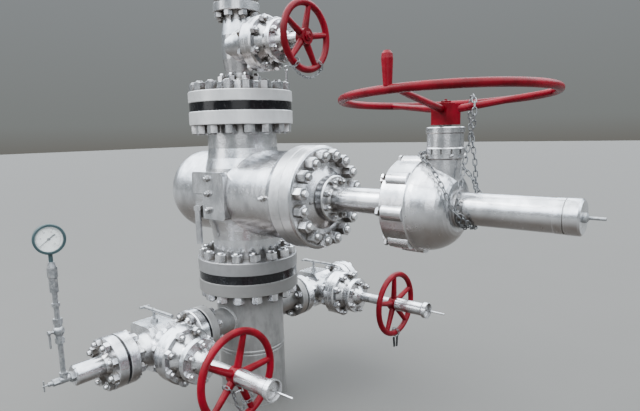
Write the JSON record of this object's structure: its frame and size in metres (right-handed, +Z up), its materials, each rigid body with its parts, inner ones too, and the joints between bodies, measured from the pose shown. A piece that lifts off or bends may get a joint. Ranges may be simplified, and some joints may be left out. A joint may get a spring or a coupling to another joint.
{
  "type": "oil wellhead valve stack",
  "caption": "Wellhead valve stack: casing head, large geared gate valve, small gate valve on top, side outlet valves, and a pressure gauge on a riser.",
  "frame": {"origin": "centre of the casing foot, on the ground", "axes": "+Z up along the well, +X along the valve stems, -Y along the outlet that carries the gauge"},
  "size_m": [2.282, 2.017, 2.215],
  "materials": {
    "bright_silver_paint": "aluminium paint, satin",
    "dull_silver_paint": "weathered aluminium paint",
    "black_wrap": "glossy black wrapping",
    "red_paint": "glossy enamel",
    "zinc_plated": "galvanised",
    "gauge_case_paint": "dark enamel",
    "dial_white": "matt white",
    "pointer_black": "matt black"
  },
  "bodies": {
    "stack": {"casing_pipe": "dull_silver_paint", "casing_head": "dull_silver_paint", "lower_joint_band": "black_wrap", "master_body": "bright_silver_paint", "drain_pipe": "bright_silver_paint", "master_bonnet": "bright_silver_paint", "gland_flange": "bright_silver_paint", "yoke_tube": "bright_silver_paint", "gearbox_housing": "bright_silver_paint", "pinion_column": "bright_silver_paint", "pinion_collar": "bright_silver_paint", "stem_cover": "bright_silver_paint", "stem_cover_cap": "bright_silver_paint", "indicator_rod": "zinc_plated", "upper_joint_band": "black_wrap", "adapter_flange": "bright_silver_paint", "top_valve_body": "bright_silver_paint", "top_bonnet": "bright_silver_paint", "top_blind_flange": "bright_silver_paint", "left_valve_body": "bright_silver_paint", "left_bonnet": "bright_silver_paint", "right_valve_body": "bright_silver_paint", "right_bonnet": "bright_silver_paint", "side_joint_bands": "black_wrap", "left_end_flange": "bright_silver_paint", "right_blind_flange": "bright_silver_paint", "bleed_fittings": "zinc_plated", "gauge_tee": "zinc_plated", "needle_valve": "zinc_plated", "gauge_riser": "zinc_plated", "gauge_cock": "zinc_plated", "gauge_reducer": "zinc_plated", "gauge_case": "gauge_case_paint", "gauge_dial": "dial_white", "gauge_pointer": "pointer_black", "main_lock_chain": "zinc_plated"},
    "main_wheel": {"main_handwheel": "red_paint", "main_wheel_grip": "red_paint"},
    "top_wheel": {"top_handwheel": "red_paint"},
    "left_wheel": {"left_handwheel": "red_paint", "left_stem_cap": "bright_silver_paint"},
    "right_wheel": {"right_handwheel": "red_paint", "right_stem_cap": "bright_silver_paint"},
    "gauge_cock_lever": {"cock_lever": "zinc_plated"}
  },
  "joints": [
    {"name": "main_wheel_turn", "type": "hinge", "parent": "stack", "child": "main_wheel", "pos_m": [1.192, 0, 1.61], "axis": [0, 0, 1], "range_deg": [-4, 4]},
    {"name": "top_wheel_turn", "type": "hinge", "parent": "stack", "child": "top_wheel", "pos_m": [0.472, 0, 1.9275], "axis": [1, 0, 0], "continuous": true},
    {"name": "left_wheel_turn", "type": "hinge", "parent": "stack", "child": "left_wheel", "pos_m": [0.566, -0.5955, 0.487], "axis": [1, 0, 0], "continuous": true},
    {"name": "right_wheel_turn", "type": "hinge", "parent": "stack", "child": "right_wheel", "pos_m": [0.592, 0.5955, 0.487], "axis": [1, 0, 0], "continuous": true},
    {"name": "gauge_cock_turn", "type": "hinge", "parent": "stack", "child": "gauge_cock_lever", "pos_m": [0, -1.1, 0.701], "axis": [0, -1, 0], "range_deg": [0, 90]}
  ]
}
